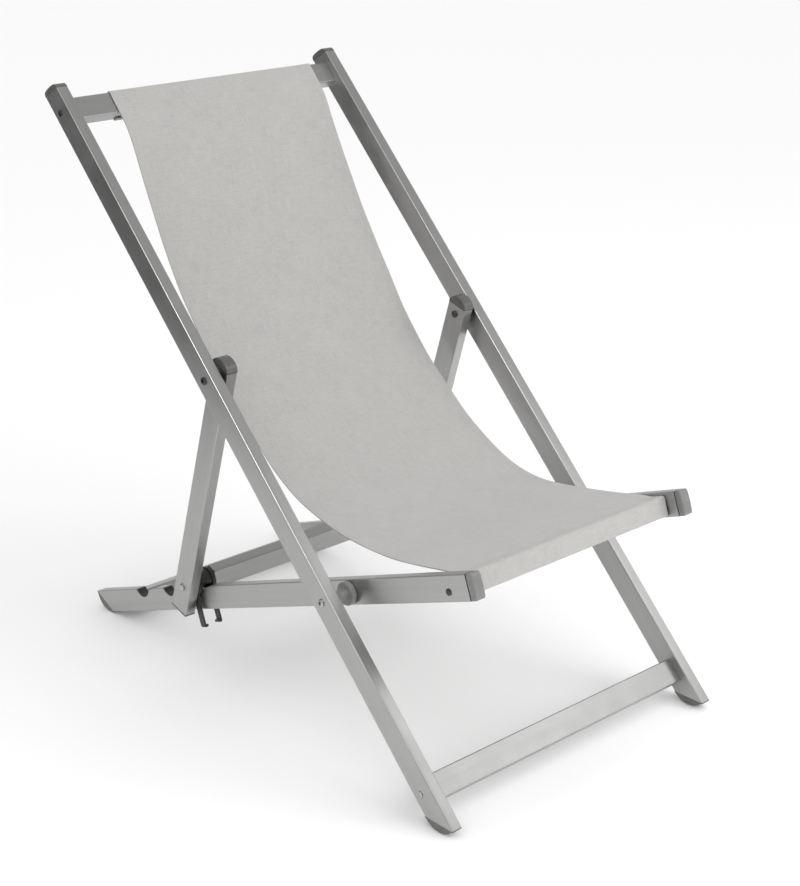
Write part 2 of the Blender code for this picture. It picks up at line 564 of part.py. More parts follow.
def build_catches(bar_end):
    """The two plastic catches that turn on the prop crossbar's pins."""
    grip = 24.0
    # The neck narrows from the head to the prong, as (along the rail, square to it).
    neck_outline = [(17.5, -9.5), (12, -15.5), (8.5, -22), (6.6, -30), (5.8, -38)]
    neck_outline += [(-s, n) for s, n in reversed(neck_outline)] + [(0, 0)]
    for hand, word in ((-1, "left"), (1, "right")):
        x_leg = leg_in - PRONG_LEG_GAP
        x_bar = bar_end + PRONG_LEG_GAP
        profile = [(bar_end - grip, PIN_RADIUS - 0.8), (bar_end - grip + 1.5, PIN_RADIUS),
                   (leg_out + CLEAR, PIN_RADIUS), (leg_out + CLEAR, PIN_HEAD),
                   (leg_out + CLEAR + PIN_HEAD_HIGH * 0.6, PIN_HEAD),
                   (leg_out + CLEAR + PIN_HEAD_HIGH, PIN_HEAD * 0.6)]
        new_object("catch_pin_" + word, lambda w: turned_solid(
            w, catch_pin, [(hand * x, r) for x, r in profile], ROUND_SMALL), steel, catch_pin)
        web_out, web_in = seat_out + PIN_CLEAR * 5, seat_in - PIN_CLEAR * 5
        edge = 1.5
        head = [(x_bar, CATCH_RADIUS - edge), (x_bar + edge * 0.35, CATCH_RADIUS - edge * 0.35),
                (x_bar + edge, CATCH_RADIUS), (web_in, CATCH_RADIUS), (web_in, CATCH_WEB_RADIUS),
                (web_out, CATCH_WEB_RADIUS), (web_out, CATCH_RADIUS), (x_leg - edge, CATCH_RADIUS),
                (x_leg - edge * 0.35, CATCH_RADIUS - edge * 0.35), (x_leg, CATCH_RADIUS - edge)]
        made = new_object("catch_" + word, lambda w: turned_solid(
            w, catch_pin, [(hand * x, r) for x, r in head]), plastic, catch_pin)
        parts = []
        half = PRONG_WIDE / 2
        for x_face, way in ((x_leg, -1), (x_bar, 1)):
            # way points from the prong's far face towards the rail
            far, near = x_face, x_face + way * PRONG_THICK
            hook = near + way * PRONG_HOOK
            shape = [(far, 6.0), (near, 6.0), (near, -PRONG_LONG + HOOK_HIGH),
                     (hook, -PRONG_LONG + HOOK_HIGH - 1.5),
                     (hook, -PRONG_LONG + 1.5), (near, -PRONG_LONG), (far + way * 1.2, -PRONG_LONG + 0.8),
                     (far, -PRONG_LONG + 3.0)]
            shape = [(hand * x, z) for x, z in shape]
            parts.append(tool(lambda w, shape=shape: hanging_bar(w, catch_pin, shape, half), catch_pin))
            neck = [catch_pin + SEAT.along * s + SEAT.across * n for s, n in neck_outline]
            neck_span = sorted((hand * far, hand * near))
            parts.append(tool(lambda w, span=neck_span, neck=neck: prism(w, neck, *span), catch_pin))
        cut(made, parts, "UNION")
        flat = [(-40, -CATCH_WEB_FLAT), (40, -CATCH_WEB_FLAT), (40, -60), (-40, -60)]
        flat = [catch_pin + SEAT.along * s + SEAT.across * n for s, n in flat]
        web_span = sorted((hand * web_out, hand * web_in))
        cut(made, [tool(lambda w: prism(w, flat, *web_span), catch_pin),
                   round_tool(catch_pin, PIN_RADIUS + PIN_CLEAR,
                              hand * (x_bar - 3), hand * (x_leg + 3), catch_pin)])


def hanging_bar(work, centre, outline, half):
    """An outline in (x, height above centre, square to the seat rail), swept along the rail."""
    rings = []
    for s in (-half, half):
        ring = []
        for x, n in outline:
            p = centre + SEAT.along * s + SEAT.across * n
            ring.append(work.verts.new((x, p.x, p.y)))
        rings.append(ring)
    count = len(outline)
    work.faces.new(rings[0])
    work.faces.new(rings[1])
    for i in range(count):
        j = (i + 1) % count
        work.faces.new((rings[0][i], rings[1][i], rings[1][j], rings[0][j]))


def smooth_path(points, steps=8):
    """Points along a Catmull-Rom curve through the given points."""
    out = []
    ext = [points[0] * 2 - points[1]] + points + [points[-1] * 2 - points[-2]]
    for a, b, c, d in zip(ext, ext[1:], ext[2:], ext[3:]):
        for k in range(steps):
            t = k / steps
            out.append(0.5 * ((2 * b) + (c - a) * t + (2 * a - 5 * b + 4 * c - d) * t ** 2
                              + (3 * b - a - 3 * c + d) * t ** 3))
    out.append(points[-1].copy())
    return out


def wrap(side, s, n, start, stop, steps, slack=0.0):
    """Points round a crossbar at cloth distance, between two turns in degrees.

    slack lifts the cloth off the bar's upper face.
    """
    reach = CLOTH_GAP + CLOTH / 2
    edge = TUBE_EDGE + reach
    flat_s, flat_n = half_deep + reach - edge, half_thick + reach - edge
    out = []
    for k in range(steps + 1):
        a = math.radians(start + (stop - start) * k / steps)
        ca, sa = math.cos(a), math.sin(a)
        up = flat_n + slack if sa > 0 else flat_n
        out.append(side.at(s + flat_s * max(-1.0, min(1.0, ca * 12)) + edge * ca,
                           n + up * max(-1.0, min(1.0, sa * 12)) + edge * sa))
    return out


def sling_path(edge):
    """The cloth's middle line along one edge, from its hem under the top bar to its front hem.

    edge is 1 for the left edge's sag and 2 for the right edge's.
    """
    top = wrap(MAIN, TOP_BAR_AT, -BAR_SET_BACK, -178, 100, 42)
    front = wrap(SEAT, -FRONT_BAR_AT, -BAR_SET_BACK, 90, 268, 26, POCKET_SLACK)
    start, end = top[-1], front[0]
    chord = end - start
    down = Vector((chord.y, -chord.x)).normalized()
    if down.y > 0:
        down = -down
    body = [start] + [start + chord * row[0] + down * row[edge] for row in SLING_SAG] + [end]
    return top[:-1] + smooth_path(body, 2) + front[1:]


def build_sling():
    lines = [sling_path(1), sling_path(2)]
    keep = [0]
    for i in range(1, len(lines[0])):
        if all((line[i] - line[keep[-1]]).length > 0.6 for line in lines):
            keep.append(i)
    lines = [[line[i] for i in keep] for line in lines]
    count = len(keep)
    highest = max(p.y for p in lines[0])
    lowest = lines[0][-1].y

    def maker(work):
        layers = []
        for outward in (1, -1):
            rows = []
            for i in range(count):
                row = []
                for hand, line in zip((-1, 1), lines):
                    way = (line[min(i + 1, count - 1)] - line[max(i - 1, 0)]).normalized()
                    q = line[i] + Vector((-way.y, way.x)) * (outward * CLOTH / 2)
                    drift = SLING_SHIFT * min(1.0, max(0.0, (line[i].y - lowest) / (highest - lowest)))
                    row.append(work.verts.new((drift + hand * sling_half, q.x, q.y)))
                rows.append(row)
            layers.append(rows)
        over, under = layers
        for i in range(count - 1):
            work.faces.new((over[i][0], over[i][1], over[i + 1][1], over[i + 1][0]))
            work.faces.new((under[i][0], under[i][1], under[i + 1][1], under[i + 1][0]))
            for e in (0, 1):
                work.faces.new((over[i][e], over[i + 1][e], under[i + 1][e], under[i][e]))
        for i in (0, count - 1):
            work.faces.new((over[i][0], over[i][1], under[i][1], under[i][0]))
    new_object("sling", maker, cloth, pivot_zero)


def centre_over_origin():
    """Moves everything along the floor, so that the middle of the chair's length is at y = 0."""
    bpy.context.view_layer.update()
    reach = [(made.matrix_world @ v.co).y for made in bpy.data.objects for v in made.data.vertices]
    shift = Vector((0, -(min(reach) + max(reach)) / 2, 0))
    for made in bpy.data.objects:
        made.location += shift
    print("pivots, pin and shift in mm:", pivot_zero, prop_pivot, catch_pin, shift / MM)


# ---------------------------------------------------------------- build
for old in list(bpy.data.objects):
    bpy.data.objects.remove(old, do_unlink=True)

aluminium = material("aluminium_satin", (0.44, 0.44, 0.43), 1.0, 0.38)
plastic = material("plastic_dark", (0.035, 0.035, 0.036), 0.0, 0.42)
steel = material("steel_fixings", (0.42, 0.42, 0.42), 1.0, 0.32)
cloth = material("sling_cloth", (0.56, 0.55, 0.53), 0.0, 0.9)
pivot_zero = MAIN.at(0, 0)

build_main_frame()
build_seat_frame()
catch_bar_end = build_prop_frame()
pivot_bolts()
build_catches(catch_bar_end)
build_sling()

centre_over_origin()
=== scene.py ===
"""Looks for a folding deck chair: satin aluminium tube, dark moulded fittings, woven sling."""

import json
import math

import bpy
import numpy as np
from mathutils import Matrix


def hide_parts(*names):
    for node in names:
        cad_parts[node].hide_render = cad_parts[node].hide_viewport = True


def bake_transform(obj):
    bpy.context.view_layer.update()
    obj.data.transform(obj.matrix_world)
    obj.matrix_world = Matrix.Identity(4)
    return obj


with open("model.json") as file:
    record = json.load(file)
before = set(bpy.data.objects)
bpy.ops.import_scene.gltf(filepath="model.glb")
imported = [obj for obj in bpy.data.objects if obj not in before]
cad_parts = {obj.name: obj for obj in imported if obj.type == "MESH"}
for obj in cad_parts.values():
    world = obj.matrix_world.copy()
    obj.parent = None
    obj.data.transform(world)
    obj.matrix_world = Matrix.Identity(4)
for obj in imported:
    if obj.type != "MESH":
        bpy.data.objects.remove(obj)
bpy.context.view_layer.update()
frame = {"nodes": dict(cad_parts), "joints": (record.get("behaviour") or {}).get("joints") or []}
nodes = frame["nodes"]
MM = 0.001

# ---------------------------------------------------------------- side-view frames
# Side-view points are (y, z) in metres. Each rail frame has its zero at a pivot, a way
# along the rail and a way square to it.
joint_at = {j["name"]: np.array(j["pos_m"]) for j in frame["joints"]}
hinge, prop_hinge = joint_at["seat_fold"][1:], joint_at["prop_fold"][1:]
catch_pin = joint_at["catch_left_turn"][1:]
MAIN_ANGLE, SEAT_ANGLE = 45.5, -20.7214
leg_way = catch_pin - prop_hinge
LEG_ANGLE = math.degrees(math.atan2(leg_way[1], leg_way[0]))


def heading(degrees):
    """The unit way that points this many degrees above +y."""
    return np.array([math.cos(math.radians(degrees)), math.sin(math.radians(degrees))])


MAIN = (hinge, heading(MAIN_ANGLE), heading(MAIN_ANGLE + 90))
SEAT = (hinge, heading(SEAT_ANGLE), heading(SEAT_ANGLE + 90))


def place(side, along, across):
    """zero + along times the rail's way + across times the way square to it (mm in, metres out)."""
    zero, way, square = side
    along, across = np.asarray(along, float), np.asarray(across, float)
    return zero + MM * (along[..., None] * way + across[..., None] * square)


# ---------------------------------------------------------------- meshes
def add_mesh(name, points, faces, uv=None):
    """A mesh object from an (n, 3) array of points in metres and an (m, 4) array of corners."""
    mesh = bpy.data.meshes.new(name)
    mesh.from_pydata(points.tolist(), [], faces.tolist())
    if uv is not None:
        layer = mesh.uv_layers.new(name="cloth")
        layer.data.foreach_set("uv", uv[faces].astype(np.float32).ravel())
    mesh.polygons.foreach_set("use_smooth", np.ones(len(mesh.polygons), bool))
    mesh.update()
    made = bpy.data.objects.new(name, mesh)
    bpy.context.scene.collection.objects.link(made)
    return made


def grid_faces(rows, columns):
    """Four corners of every cell of a rows by columns grid of points."""
    k = np.arange(rows * columns).reshape(rows, columns)
    return np.stack([k[:-1, :-1], k[:-1, 1:], k[1:, 1:], k[1:, :-1]], -1).reshape(-1, 4)


# ---------------------------------------------------------------- node helpers
class Nodes:
    """Adds nodes to a tree and joins them, one short call each."""

    def __init__(self, tree):
        self.tree = tree

    def add(self, kind, settings=(), **inputs):
        made = self.tree.nodes.new("ShaderNode" + kind)
        for name, value in dict(settings).items():
            setattr(made, name, value)
        for name, value in inputs.items():
            socket = made.inputs[int(name[1:])] if name[0] == "_" else made.inputs[name.replace("_", " ")]
            self.give(socket, value)
        return made

    def give(self, socket, value):
        if hasattr(value, "is_output"):
            self.tree.links.new(value, socket)
        else:
            socket.default_value = value

    def math(self, operation, a, b=0.5, c=0.5):
        return self.add("Math", {"operation": operation}, _0=a, _1=b, _2=c).outputs[0]

    def noise(self, vector, scale, detail=3.0, rough=0.55):
        return self.add("TexNoise", Vector=vector, Scale=scale, Detail=detail, Roughness=rough).outputs[0]

    def ramp(self, value, low, high, out_low=0.0, out_high=1.0):
        """value from low..high turned smoothly into out_low..out_high."""
        return self.add("MapRange", {"interpolation_type": "SMOOTHSTEP"}, Value=value, From_Min=low,
                        From_Max=high, To_Min=out_low, To_Max=out_high).outputs[0]

    def mix(self, share, a, b):
        made = self.add("Mix", {"data_type": "RGBA"})
        self.give(made.inputs[0], share)
        self.give(made.inputs[6], a)
        self.give(made.inputs[7], b)
        return made.outputs[2]


def new_group(name, inputs, outputs):
    """A shader node group with float inputs (name: default), a vector input and named outputs."""
    tree = bpy.data.node_groups.new(name, "ShaderNodeTree")
    tree.interface.new_socket("Vector", in_out="INPUT", socket_type="NodeSocketVector")
    for label, default in inputs.items():
        kind = "NodeSocketColor" if isinstance(default, tuple) else "NodeSocketFloat"
        tree.interface.new_socket(label, in_out="INPUT", socket_type=kind).default_value = default
    for label, kind in outputs.items():
        tree.interface.new_socket(label, in_out="OUTPUT", socket_type="NodeSocket" + kind)
    inside, outside = tree.nodes.new("NodeGroupInput"), tree.nodes.new("NodeGroupOutput")
    return tree, Nodes(tree), inside.outputs, outside.inputs


def metal_grain():
    """Drawn metal: long fine die lines down the tube's length (the vector's x), soft cloudy
    blotches, small scuffs and a few dark specks. Height, tone and roughness come out."""
    tree, n, given, out = new_group(
        "drawn_metal", {"Colour": (0.4, 0.4, 0.4, 1), "Roughness": 0.36, "Lines": 1.0},
        {"Colour": "Color", "Roughness": "Float", "Height": "Float"})
    drawn = n.add("Mapping", Vector=given["Vector"], Scale=(3.0, 900.0, 900.0)).outputs[0]
    lines = n.noise(drawn, 1.0, 4.0, 0.7)
    wide = n.noise(n.add("Mapping", Vector=given["Vector"], Scale=(1.2, 160.0, 160.0)).outputs[0], 1.0, 2.0)
    cloud = n.noise(given["Vector"], 26.0, 4.0, 0.6)
    specks = n.ramp(n.noise(given["Vector"], 700.0, 2.0), 0.70, 0.78)
    scuffs = n.ramp(n.noise(n.add("Mapping", Vector=given["Vector"], Scale=(60.0, 240.0, 240.0)).outputs[0],
                            1.0, 5.0, 0.75), 0.64, 0.78)
    shade = n.math("ADD", n.math("MULTIPLY", lines, 0.16), n.math("MULTIPLY", wide, 0.12))
    shade = n.math("ADD", shade, n.math("MULTIPLY", cloud, 0.14))
    shade = n.math("SUBTRACT", n.math("ADD", shade, 0.79), n.math("MULTIPLY", specks, 0.22))
    toned = n.add("VectorMath", {"operation": "SCALE"}, _0=given["Colour"], _3=shade).outputs[0]
    n.give(out["Colour"], toned)
    rough = n.math("ADD", given["Roughness"], n.math("MULTIPLY", n.math("SUBTRACT", cloud, 0.5), 0.16))
    n.give(out["Roughness"], n.math("ADD", rough, n.math("MULTIPLY", scuffs, 0.14)))
    height = n.math("MULTIPLY", n.math("ADD", lines, n.math("MULTIPLY", wide, 0.5)), given["Lines"])
    n.give(out["Height"], n.math("SUBTRACT", height, n.math("MULTIPLY", scuffs, 0.3)))
    return tree


def moulded_grain():
    """Moulded plastic: a fine pebbled grain, cloudy sheen and pale rubbed patches."""
    tree, n, given, out = new_group(
        "moulded_grain", {"Colour": (0.04, 0.04, 0.04, 1), "Roughness": 0.42, "Grain": 900.0},
        {"Colour": "Color", "Roughness": "Float", "Height": "Float"})
    pebble = n.add("TexVoronoi", Vector=given["Vector"], Scale=given["Grain"]).outputs[0]
    fine = n.noise(given["Vector"], n.math("MULTIPLY", given["Grain"], 1.7), 3.0)
    cloud = n.noise(given["Vector"], 55.0, 4.0, 0.6)
    rubbed = n.ramp(n.noise(given["Vector"], 170.0, 5.0, 0.7), 0.56, 0.74)
    shade = n.math("ADD", n.math("MULTIPLY", cloud, 0.5), n.math("MULTIPLY", fine, 0.24))
    shade = n.math("ADD", n.math("ADD", shade, 0.64), n.math("MULTIPLY", rubbed, 0.4))
    toned = n.add("VectorMath", {"operation": "SCALE"}, _0=given["Colour"], _3=shade).outputs[0]
    n.give(out["Colour"], toned)
    rough = n.math("ADD", given["Roughness"], n.math("MULTIPLY", n.math("SUBTRACT", cloud, 0.5), 0.22))
    n.give(out["Roughness"], n.math("SUBTRACT", rough, n.math("MULTIPLY", rubbed, 0.07)))
    n.give(out["Height"], n.math("ADD", n.math("MULTIPLY", pebble, 0.6), n.math("MULTIPLY", fine, 0.4)))
    return tree


def plain_weave():
    """Plain weave on a vector in metres: raised warp and weft threads in turn, slubs that thicken
    some threads, and soft wear. Pitch is threads a metre."""
    tree, n, given, out = new_group(
        "plain_weave", {"Colour": (0.6, 0.6, 0.6, 1), "Pitch": 1250.0},
        {"Colour": "Color", "Roughness": "Float", "Height": "Float"})
    wavy = n.add("TexNoise", Vector=given["Vector"], Scale=90.0, Detail=2.0).outputs[1]
    nudge = n.add("VectorMath", {"operation": "SCALE"}, _0=wavy, _3=0.0012).outputs[0]
    moved = n.add("VectorMath", {"operation": "ADD"}, _0=given["Vector"], _1=nudge).outputs[0]
    part = n.add("SeparateXYZ", Vector=moved).outputs
    turn = n.math("MULTIPLY", given["Pitch"], math.pi)
    across = n.math("SINE", n.math("MULTIPLY", part[0], turn))
    down = n.math("SINE", n.math("MULTIPLY", part[1], turn))
    over = n.math("MULTIPLY", across, down)
    warp = n.math("ABSOLUTE", across)
    weft = n.math("ABSOLUTE", down)
    thread = n.math("ADD", n.math("MULTIPLY", warp, weft), n.math("MULTIPLY", over, 0.35))
    slub_a = n.noise(n.add("Mapping", Vector=given["Vector"], Scale=(620.0, 40.0, 1.0)).outputs[0], 1.0, 3.0)
    slub_b = n.noise(n.add("Mapping", Vector=given["Vector"], Scale=(40.0, 620.0, 1.0)).outputs[0], 1.0, 3.0)
    slub = n.math("ADD", slub_a, slub_b)
    cloud = n.noise(given["Vector"], 14.0, 5.0, 0.62)
    shade = n.math("ADD", n.math("MULTIPLY", thread, 0.14), n.math("MULTIPLY", slub, 0.34))
    shade = n.math("ADD", n.math("ADD", shade, n.math("MULTIPLY", cloud, 0.14)), 0.54)
    toned = n.add("VectorMath", {"operation": "SCALE"}, _0=given["Colour"], _3=shade).outputs[0]
    n.give(out["Colour"], toned)
    n.give(out["Roughness"], n.math("SUBTRACT", 0.93, n.math("MULTIPLY", thread, 0.12)))
    n.give(out["Height"], n.math("ADD", thread, n.math("MULTIPLY", slub, 0.5)))
    return tree


GRAIN, MOULDED, WEAVE = metal_grain(), moulded_grain(), plain_weave()


def finish_material(name, group, group_values, bump, turn=(0, 0, 0), uv=None, **shader_values):
    """A material: the group's colour and roughness on a Principled shader, its height as bump."""
    made = bpy.data.materials.new(name)
    made.use_nodes = True
    n = Nodes(made.node_tree)
    shader = made.node_tree.nodes["Principled BSDF"]
    for label, value in shader_values.items():
        shader.inputs[label.replace("_", " ")].default_value = value
    if uv:
        where = n.add("UVMap", {"uv_map": uv}).outputs[0]
    else:
        where = n.add("TexCoord").outputs["Object"]
        where = n.add("Mapping", Vector=where, Rotation=tuple(math.radians(a) for a in turn)).outputs[0]
    effect = made.node_tree.nodes.new("ShaderNodeGroup")
    effect.node_tree = group
    n.give(effect.inputs["Vector"], where)
    for label, value in group_values.items():
        effect.inputs[label].default_value = value
    n.give(shader.inputs["Base Color"], effect.outputs["Colour"])
    n.give(shader.inputs["Roughness"], effect.outputs["Roughness"])
    raised = n.add("Bump", Height=effect.outputs["Height"], Strength=bump[0], Distance=bump[1])
    n.give(shader.inputs["Normal"], raised.outputs[0])
    return made, n, shader, effect


def metal(name, colour, roughness, turn, lines=1.0):
    """Metal whose grain runs along x once the coordinates are turned by turn."""
    return finish_material(name, GRAIN, {"Colour": (*colour, 1), "Roughness": roughness, "Lines": lines},
                           (0.22, 0.00018), turn, Metallic=1.0)[0]


def plastic(name, colour, roughness, grain, strength=0.25):
    return finish_material(name, MOULDED, {"Colour": (*colour, 1), "Roughness": roughness, "Grain": grain},
                           (strength, 0.0002), Specular_IOR_Level=0.5)[0]


# The tubes' grain runs along each rail: the coordinates turn about x until the rail's way is
# the vector's y, and then about z until it is its x.
ANODISED = (0.42, 0.42, 0.415)
tube_metal = {}
for word, angle in (("main", MAIN_ANGLE), ("seat", SEAT_ANGLE), ("leg", LEG_ANGLE)):
    tube_metal[word] = metal("anodised_" + word, ANODISED, 0.36, (-angle, 0, -90))
tube_metal["bar"] = metal("anodised_bar", ANODISED, 0.36, (0, 0, 0))
steel = metal("zinc_steel", (0.50, 0.50, 0.49), 0.34, (0, 0, 0), 0.3)
dark_steel = metal("dark_steel", (0.09, 0.09, 0.09), 0.38, (0, 0, 0), 0.3)
clip_plastic = plastic("clip_plastic", (0.020, 0.020, 0.018), 0.40, 1300.0)
cap_plastic = plastic("cap_plastic", (0.17, 0.17, 0.168), 0.25, 1500.0, 0.10)
top_cap_plastic = plastic("top_cap_plastic", (0.085, 0.085, 0.083), 0.28, 1500.0, 0.10)
foot_plastic = plastic("foot_plastic", (0.115, 0.115, 0.112), 0.42, 1100.0)
ring_plastic = plastic("spacer_plastic", (0.22, 0.22, 0.215), 0.36, 1200.0)


def finish_for(name):
    """The material that a CAD node takes, by its name."""
    if "rail" in name:
        return tube_metal["main" if name.startswith("main") else "seat"]
    if name.startswith("prop_leg"):
        return tube_metal["leg"]
    if "crossbar" in name:
        return tube_metal["bar"]
    if name.startswith(("front_bar_screw", "top_bar_screw", "prop_pivot_bolt")):
        return dark_steel
    if "screw" in name or "bolt" in name or name.startswith("catch_pin"):
        return steel
    if "cap" in name:
        return cap_plastic if "front" in name else top_cap_plastic
    if "foot" in name or "tip" in name:
        return foot_plastic
    return ring_plastic if "spacer" in name else clip_plastic


def smooth_by_angle(limit):
    """Shades faces smooth, and keeps an edge sharp where its two faces turn by more than limit."""
    tree = bpy.data.node_groups.new("smooth_by_angle", "GeometryNodeTree")
    for way in ("INPUT", "OUTPUT"):
        tree.interface.new_socket("Geometry", in_out=way, socket_type="NodeSocketGeometry")
    inside, outside = tree.nodes.new("NodeGroupInput"), tree.nodes.new("NodeGroupOutput")
    faces, edges = (tree.nodes.new("GeometryNodeSetShadeSmooth") for _ in range(2))
    faces.domain, edges.domain = "FACE", "EDGE"
    angle, below = tree.nodes.new("GeometryNodeInputMeshEdgeAngle"), tree.nodes.new("FunctionNodeCompare")
    below.operation = "LESS_THAN"
    below.inputs["B"].default_value = math.radians(limit)
    for source, target in ((inside.outputs[0], faces.inputs["Geometry"]),
                           (faces.outputs[0], edges.inputs["Geometry"]),
                           (angle.outputs["Unsigned Angle"], below.inputs["A"]),
                           (below.outputs[0], edges.inputs["Shade Smooth"]),
                           (edges.outputs[0], outside.inputs[0])):
        tree.links.new(source, target)
    return tree


SMOOTH = smooth_by_angle(50)
EDGES = {"cap": 0.9, "foot": 0.8, "tip": 0.8, "spacer": 0.8, "catch_left": 0.7, "catch_right": 0.7}
for name, node in nodes.items():
    node.data.materials.clear()
    node.data.materials.append(finish_for(name))
    if name == "sling":
        continue
    weld = node.modifiers.new("weld", "WELD")
    weld.merge_threshold = 0.00001
    edge = next((size for word, size in EDGES.items() if word in name and "pin" not in name), 0.0)
    if edge:
        bevel = node.modifiers.new("edges", "BEVEL")
        bevel.width, bevel.segments, bevel.limit_method = edge * MM, 3, "ANGLE"
        bevel.angle_limit = math.radians(40)
        bevel.use_clamp_overlap = True
        bevel.harden_normals = False
    node.modifiers.new("smooth", "NODES").node_group = SMOOTH
    even = node.modifiers.new("flat_faces", "WEIGHTED_NORMAL")
    even.keep_sharp, even.weight = True, 80

# ---------------------------------------------------------------- the sling
CLOTH, CLOTH_GAP = 1.6, 0.7
BAR_DEEP, BAR_THICK, BAR_EDGE, BAR_BACK = 20.0, 10.0, 2.0, -5.0
TOP_BAR_AT, FRONT_BAR_AT = 889.5, -225.0
POCKET_SLACK = 8.0
SLING_HALF, SLING_SHIFT = 208.5, 20.0
HEM_WIDE, HEM_UP = 13.0, 0.22
STITCH_IN, STITCH_DIP, STITCH_WIDE, STITCH_LONG = 10.4, 0.25, 0.7, 3.4
TOP_ROWS, HANG_ROWS, FRONT_ROWS, FADE_ROWS = 71, 221, 51, 60
# How far the cloth hangs below the straight line from bar to bar: the share of the way down,
# then the sag at its left edge and at its right edge in mm.
SAG = np.array([
    (0, 0, 0), (0.03, 7, 10), (0.06, 20, 26), (0.1, 42, 46), (0.14, 64, 65), (0.19, 90, 88),
    (0.24, 114, 110), (0.29, 134, 129), (0.34, 149, 147), (0.39, 162, 165), (0.44, 173, 180),
    (0.49, 182, 191), (0.54, 189, 198), (0.59, 194, 203), (0.64, 196, 205), (0.69, 191, 202),
    (0.74, 177, 194), (0.78, 162, 182), (0.82, 142, 161), (0.86, 118, 131), (0.9, 89, 95),
    (0.94, 55, 58), (0.97, 27, 28), (1, 0, 0)])


def round_bar(side, along, start, stop, steps, slack=0.0):
    """Round a crossbar at cloth distance: a rounded rectangle by turn, each corner a quarter
    circle about its own centre; slack lifts the cloth off the bar's upper face."""
    reach = CLOTH_GAP + CLOTH / 2
    corner = BAR_EDGE + reach
    flat_s, flat_n = BAR_DEEP + reach - corner, BAR_THICK + reach - corner
    a = np.radians(np.linspace(start, stop, steps + 1))
    up = np.where(np.sin(a) > 0, flat_n + slack, flat_n)
    return place(side, along + flat_s * np.clip(12 * np.cos(a), -1, 1) + corner * np.cos(a),
                 BAR_BACK + up * np.clip(12 * np.sin(a), -1, 1) + corner * np.sin(a))


def cubic_through(points, steps):
    """Catmull-Rom: each span is the cubic whose slopes at its ends are half the chord between
    the neighbours on either side."""
    ends = np.vstack([2 * points[0] - points[1], points, 2 * points[-1] - points[-2]])
    a, b, c, d = ends[:-3, None], ends[1:-2, None], ends[2:-1, None], ends[3:, None]
    t = (np.arange(steps) / steps)[None, :, None]
    curve = 0.5 * (2 * b + (c - a) * t + (2 * a - 5 * b + 4 * c - d) * t ** 2
                   + (3 * b - a - 3 * c + d) * t ** 3)
    return np.vstack([curve.reshape(-1, 2), points[-1]])


def evenly(line, count):
    """The line's points again, count of them, spaced evenly by length."""
    run = np.concatenate([[0], np.cumsum(np.linalg.norm(np.diff(line, axis=0), axis=1))])
    at = np.linspace(0, run[-1], count)
    return np.stack([np.interp(at, run, line[:, k]) for k in (0, 1)], 1), run[-1]


def cloth_line(column):
    """One edge's middle line: hem under the top bar, round it, the hanging part, round the front
    bar. Each of its three parts is spaced evenly, so both edges match point for point."""
    top = round_bar(MAIN, TOP_BAR_AT, -178, 100, 200)
    front = round_bar(SEAT, FRONT_BAR_AT, 90, 268, 150, POCKET_SLACK)
    start, end = top[-1], front[0]
    chord = end - start
    down = np.array([chord[1], -chord[0]]) / np.linalg.norm(chord)
    down = -down if down[1] > 0 else down
    hang = start + SAG[:, :1] * chord + SAG[:, column:column + 1] * MM * down
    parts = [evenly(top, TOP_ROWS), evenly(cubic_through(hang, 12), HANG_ROWS), evenly(front, FRONT_ROWS)]
    line = np.vstack([parts[0][0][:-1], parts[1][0], parts[2][0][1:]])
    return line, sum(p[1] for p in parts)


